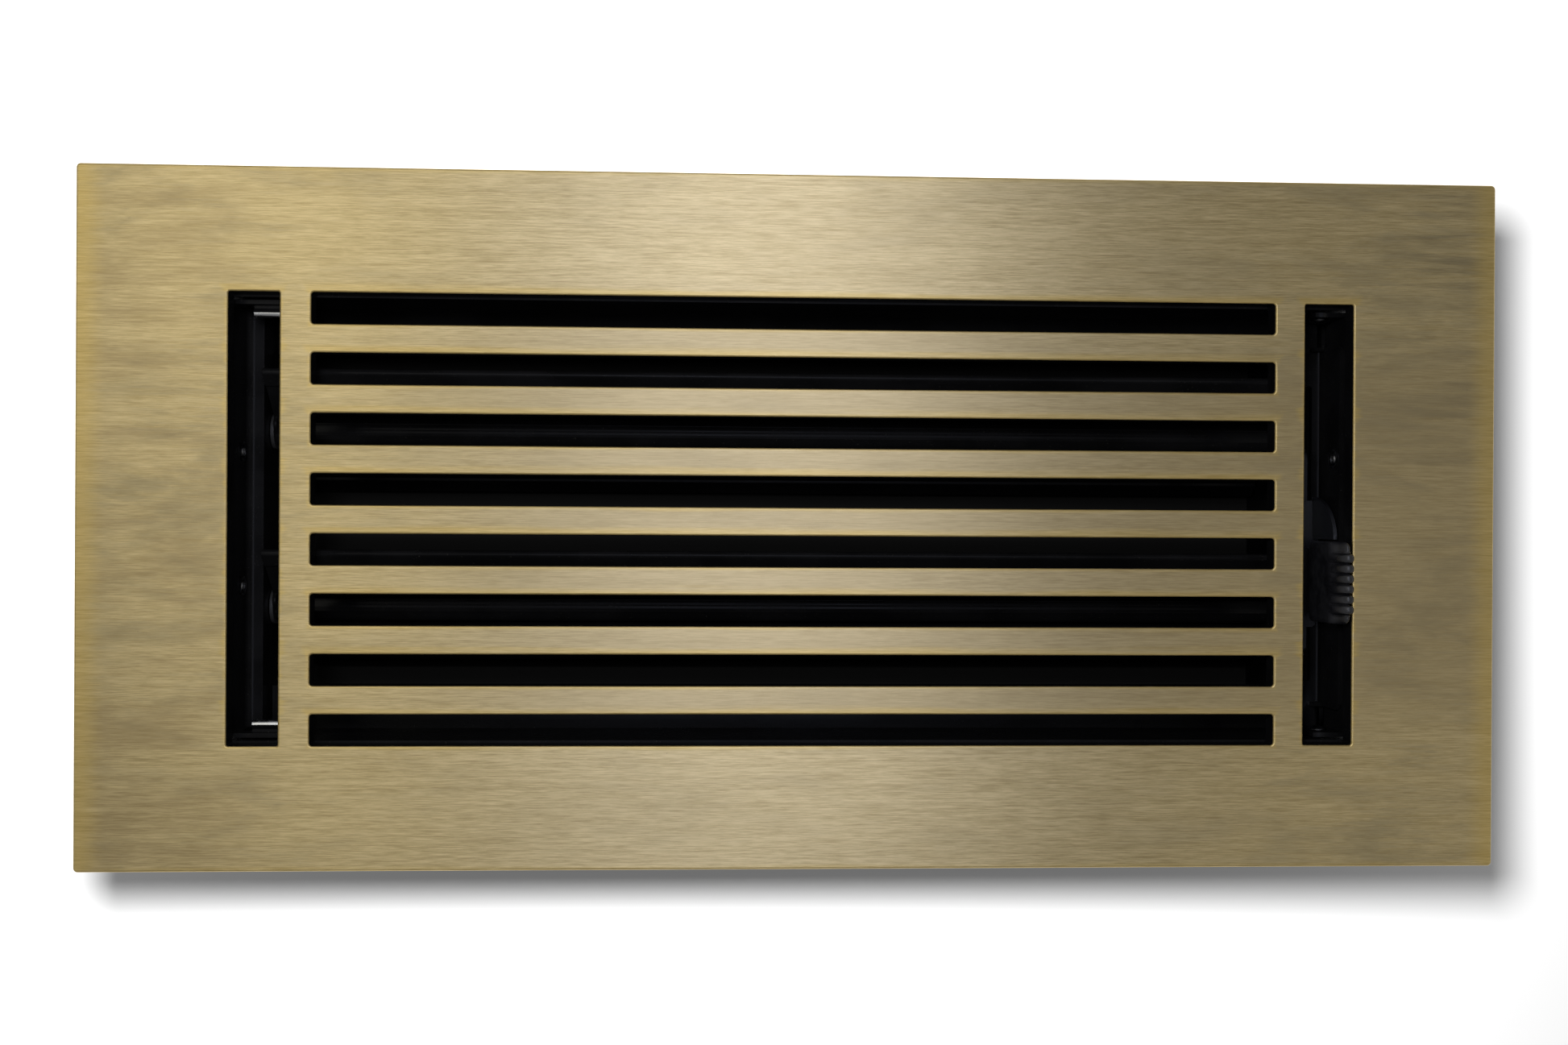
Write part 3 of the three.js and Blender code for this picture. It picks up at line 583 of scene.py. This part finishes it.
for lr, sx in (("left", -1), ("right", 1)):
    for fr, sy in (("front", -1), ("rear", 1)):
        screw(f"box_screw_{fr}_{lr}", sx * 77, sy * 50.1, ZINC)
        rivet(f"corner_rivet_{fr}_{lr}", (0, sy, 0), (sx * 115.8, 0, -8), 44.4, 48.3, 1.2, 2.2, DARK)
        eyelet(f"end_eyelet_{fr}_{lr}", sx, sy * 14.5, -6.5 if sx > 0 else -11, 118.5 if sx > 0 else 119.4, DULL)
    screw(f"bracket_screw_{lr}", sx * 125.2, 0, ZINC)


# pins on the moving parts: turned ends and a peened head, at the CAD pins' own places
def pin(node, x0, x1, r, head_at, head_r, body):
    lo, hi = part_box(node)
    cy, cz = (lo[1] + hi[1]) / 2 / MM, (lo[2] + hi[2]) / 2 / MM
    bm = bmesh.new()
    c = 0.15
    prof = [(0, x0), (r - c, x0), (r, x0 + c)]
    if head_at is not None:
        h0, h1 = head_at
        prof += [(r, h0), (head_r - 0.1, h0), (head_r, h0 + 0.1), (head_r, h1 - 0.25), (head_r - 0.25, h1), (r, h1)]
    prof += [(r, x1 - c), (r - c, x1), (0, x1)]
    prof = sorted(prof, key=lambda p: p[1]) if head_at is None else prof
    lathe(bm, prof, (1, 0, 0), (0, cy, cz), 32)
    return add_object("fine_" + node, bm_mesh("fine_" + node, bm), DARK, body, [node], 40)


for fr in ("rear", "front"):
    pin(f"pivot_pin_{fr}_left", -118.6, -113.1, 1.4, (-113.9, -113.1 - 0.001), 2.0, f"blade_{fr}")
    pin(f"pivot_pin_{fr}_right", 108.5, 114.2, 1.4, (108.501, 109.3), 2.0, f"blade_{fr}")
    pin(f"crank_pin_{fr}", 113.4, 115.2, 1.2, None, 0, f"blade_{fr}")
pin("drive_pin", 114.55, 117.6, 1.2, (116.8, 117.599), 2.2, "link")


# ---------------------------------------------------------------- stage: pale floor that glows further out (painted light), a black patch of painted shade below the box
def one_sided(nt, shader):
    """Seen from below, the floor is clear, so the underside of the register can be looked at."""
    out = next(x for x in nt.nodes if x.type == "OUTPUT_MATERIAL")
    geo, tr, mx = (nt.nodes.new("ShaderNode" + k) for k in ("NewGeometry", "BsdfTransparent", "MixShader"))
    nt.links.new(geo.outputs["Backfacing"], mx.inputs[0])
    nt.links.new(shader.outputs[0], mx.inputs[1])
    nt.links.new(tr.outputs[0], mx.inputs[2])
    nt.links.new(mx.outputs[0], out.inputs[0])


def stage_floor():
    z = -0.0455
    m, nt, b = new_mat("pale_floor")
    b.inputs["Base Color"].default_value = (0.86, 0.86, 0.86, 1)
    b.inputs["Roughness"].default_value = 0.9
    b.inputs["Specular IOR Level"].default_value = 0.1
    n = Net(nt)
    fx, fy, fz = n.xyz()
    # painted light: the floor glows more the further it lies from the register, so the far floor stays white
    d = n.m("MAXIMUM", n.m("SUBTRACT", n.m("ABSOLUTE", fx), 0.155), n.m("SUBTRACT", n.m("ABSOLUTE", fy), 0.078))
    b.inputs["Emission Color"].default_value = (1, 1, 1, 1)
    nt.links.new(n.ramp(d, 0.035, 0.42, 0.0, 0.88), b.inputs["Emission Strength"])
    one_sided(nt, b)
    # a black patch on the floor under the open box: painted shade, so no pale floor shows through the slots
    dk, nt2, b2 = new_mat("painted_shade_under_box")
    b2.inputs["Base Color"].default_value = (0.004, 0.004, 0.004, 1)
    b2.inputs["Roughness"].default_value = 1.0
    b2.inputs["Specular IOR Level"].default_value = 0.0
    one_sided(nt2, b2)
    bm = bmesh.new()
    hx, hy, B = 0.1285, 0.0508, 3.0
    outer = [bm.verts.new(p) for p in ((-B, -B, z), (B, -B, z), (B, B, z), (-B, B, z))]
    inner = [bm.verts.new(p) for p in ((-hx, -hy, z), (hx, -hy, z), (hx, hy, z), (-hx, hy, z))]
    for i in range(4):
        j = (i + 1) % 4
        bm.faces.new((outer[i], outer[j], inner[j], inner[i]))
    bm.faces.new(inner).material_index = 1
    me = bpy.data.meshes.new("floor")
    bm.to_mesh(me)
    bm.free()
    me.materials.append(m)
    me.materials.append(dk)
    o = bpy.data.objects.new("floor", me)
    bpy.context.scene.collection.objects.link(o)
    # pale backdrop round the floor: only the camera sees it, so it adds no light or reflection
    w, nt3, b3 = new_mat("pale_backdrop")
    em = nt3.nodes.new("ShaderNodeEmission")
    em.inputs[0].default_value = (0.93, 0.93, 0.93, 1)
    em.inputs[1].default_value = 0.9
    nt3.links.new(em.outputs[0], next(x for x in nt3.nodes if x.type == "OUTPUT_MATERIAL").inputs[0])
    bm = bmesh.new()
    lo, hi = [], []
    for k in range(64):
        a = 2 * math.pi * k / 64
        lo.append(bm.verts.new((2.9 * math.cos(a), 2.9 * math.sin(a), z)))
        hi.append(bm.verts.new((2.9 * math.cos(a), 2.9 * math.sin(a), 4.0)))
    for k in range(64):
        bm.faces.new((lo[k], lo[(k + 1) % 64], hi[(k + 1) % 64], hi[k]))
    me = bpy.data.meshes.new("backdrop")
    bm.to_mesh(me)
    bm.free()
    me.materials.append(w)
    o = bpy.data.objects.new("backdrop", me)
    bpy.context.scene.collection.objects.link(o)
    o.visible_diffuse = o.visible_glossy = o.visible_transmission = o.visible_shadow = o.visible_volume_scatter = False


stage_floor()


# ---------------------------------------------------------------- light
def area(name, loc, target, size, power, size_y=None, colour=(1, 1, 1)):
    l = bpy.data.lights.new(name, "AREA")
    l.shape = "RECTANGLE" if size_y else "DISK"
    l.size = size
    if size_y:
        l.size_y = size_y
    l.energy = power
    l.color = colour
    o = bpy.data.objects.new(name, l)
    bpy.context.scene.collection.objects.link(o)
    o.location = loc
    o.rotation_euler = (Vector(target) - Vector(loc)).to_track_quat("-Z", "Y").to_euler()
    return o


def box_light(name, centre, sx, sy, radiance, colour=(1, 1, 1)):
    """A soft box that faces straight down, given by how bright it looks."""
    o = area(name, centre, (centre[0], centre[1], 0), sx, radiance * math.pi * sx * sy, sy, colour)
    o.visible_diffuse = False  # it only shows as a reflection
    return o


key = area("key", (-0.052, 0.051, 0.330), (-0.052, 0.051, 0), 0.090, 3.1)
key.visible_glossy = False  # the key shapes the floor's soft shadow; the soft boxes make the metal's reflections
key.visible_camera = False
box_light("softbox_left", (-0.455, 0.56, 1.2), 0.40, 1.15, 1.16, (1.0, 0.98, 0.86))
box_light("softbox_left_low", (-0.350, -0.36, 1.2), 0.15, 0.80, 0.50, (1.0, 0.98, 0.84))
box_light("softbox_centre", (0.035, 0.42, 1.2), 0.37, 1.45, 1.52, (0.93, 1.0, 1.30))
box_light("softbox_right", (0.66, -0.42, 1.2), 0.42, 1.0, 0.24, (1.0, 0.96, 0.84))

w = bpy.data.worlds.new("soft_room")
bpy.context.scene.world = w
w.use_nodes = True
w.node_tree.nodes["Background"].inputs[0].default_value = (1, 1, 1, 1)
w.node_tree.nodes["Background"].inputs[1].default_value = 0.29

# ---------------------------------------------------------------- camera
cam = bpy.data.cameras.new("camera")
cam.sensor_fit = "HORIZONTAL"
cam.sensor_width = 36.0
cam.lens = 2075 / 1946 * 36.0
cam.clip_start, cam.clip_end = 0.01, 20
co = bpy.data.objects.new("camera", cam)
bpy.context.scene.collection.objects.link(co)
rv = Vector([math.radians(a) for a in (-0.12109, -2.91987, 0.32848)])
co.matrix_world = Matrix.Translation((-0.0210983, 0.00054394, 0.355483)) @ Matrix.Rotation(rv.length, 4, rv.normalized())
bpy.context.scene.camera = co
bpy.context.scene.view_settings.view_transform = "Standard"
